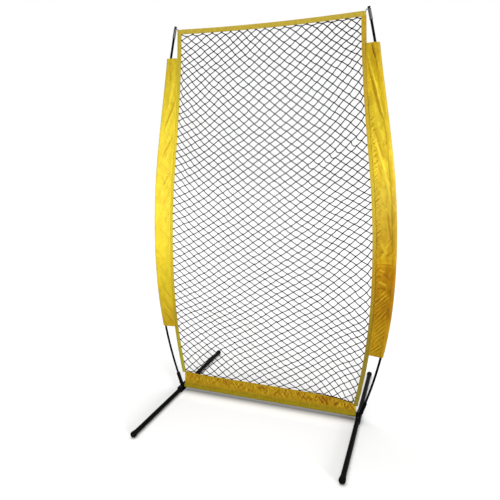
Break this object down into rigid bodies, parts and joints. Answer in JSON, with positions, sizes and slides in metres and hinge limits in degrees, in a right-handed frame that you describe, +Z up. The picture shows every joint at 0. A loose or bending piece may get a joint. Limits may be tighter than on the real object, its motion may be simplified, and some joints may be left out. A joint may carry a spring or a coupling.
{
  "type": "pitching net",
  "caption": "Free-standing pitching net: a knotted mesh between bowed, sleeved poles that stand in a tubular steel base with folding legs.",
  "frame": {"origin": "on the floor, under the middle of the crossbar", "axes": "+X along the screen to its right seen from the front, +Y from front to back, +Z up"},
  "size_m": [1.3996, 1.1454, 2.1287],
  "materials": {
    "black_steel": "satin powder coat",
    "pin_steel": "zinc plated",
    "ferrule_steel": "brushed",
    "pole_black": "glass fibre tube, satin",
    "rubber_black": "matte",
    "cord_black": "braided",
    "net_black": "knotted twine",
    "cloth_mustard": "woven",
    "cloth_yellow": "woven"
  },
  "bodies": {
    "base": {"crossbar": "black_steel", "left_end_bracket": "black_steel", "right_end_bracket": "black_steel", "left_pole_socket": "black_steel", "right_pole_socket": "black_steel", "front_left_pivot_pin": "pin_steel", "front_right_pivot_pin": "pin_steel", "rear_left_pivot_pin": "pin_steel", "rear_right_pivot_pin": "pin_steel", "left_pole_lower": "pole_black", "right_pole_lower": "pole_black", "left_pole_middle": "pole_black", "right_pole_middle": "pole_black", "left_pole_upper": "pole_black", "right_pole_upper": "pole_black", "left_lower_ferrule": "ferrule_steel", "right_lower_ferrule": "ferrule_steel", "left_upper_ferrule": "ferrule_steel", "right_upper_ferrule": "ferrule_steel", "left_tip_ferrule": "ferrule_steel", "right_tip_ferrule": "ferrule_steel", "left_tip_cap": "rubber_black", "right_tip_cap": "rubber_black", "left_shock_cord": "cord_black", "right_shock_cord": "cord_black", "left_corner_loop": "cord_black", "right_corner_loop": "cord_black", "net_mesh": "net_black", "top_binding": "cloth_mustard", "left_binding": "cloth_mustard", "right_binding": "cloth_mustard", "bottom_band": "cloth_mustard", "left_sleeve": "cloth_yellow", "right_sleeve": "cloth_yellow"},
    "front_left_leg": {"front_left_leg": "black_steel", "front_left_foot_cap": "rubber_black", "front_left_pivot_bush": "pin_steel"},
    "front_right_leg": {"front_right_leg": "black_steel", "front_right_foot_cap": "rubber_black", "front_right_pivot_bush": "pin_steel"},
    "rear_left_leg": {"rear_left_leg": "black_steel", "rear_left_foot_cap": "rubber_black", "rear_left_pivot_bush": "pin_steel"},
    "rear_right_leg": {"rear_right_leg": "black_steel", "rear_right_foot_cap": "rubber_black", "rear_right_pivot_bush": "pin_steel"}
  },
  "joints": [
    {"name": "front_left_fold", "type": "hinge", "parent": "base", "child": "front_left_leg", "pos_m": [-0.543, -0.0332, 0.0155], "axis": [0, 0, 1], "range_deg": [0, 90]},
    {"name": "front_right_fold", "type": "hinge", "parent": "base", "child": "front_right_leg", "pos_m": [0.543, -0.0332, 0.0155], "axis": [0, 0, 1], "range_deg": [-90, 0]},
    {"name": "rear_left_fold", "type": "hinge", "parent": "base", "child": "rear_left_leg", "pos_m": [-0.543, 0.0332, 0.0155], "axis": [0, 0, 1], "range_deg": [-90, 0]},
    {"name": "rear_right_fold", "type": "hinge", "parent": "base", "child": "rear_right_leg", "pos_m": [0.543, 0.0332, 0.0155], "axis": [0, 0, 1], "range_deg": [0, 90]}
  ]
}
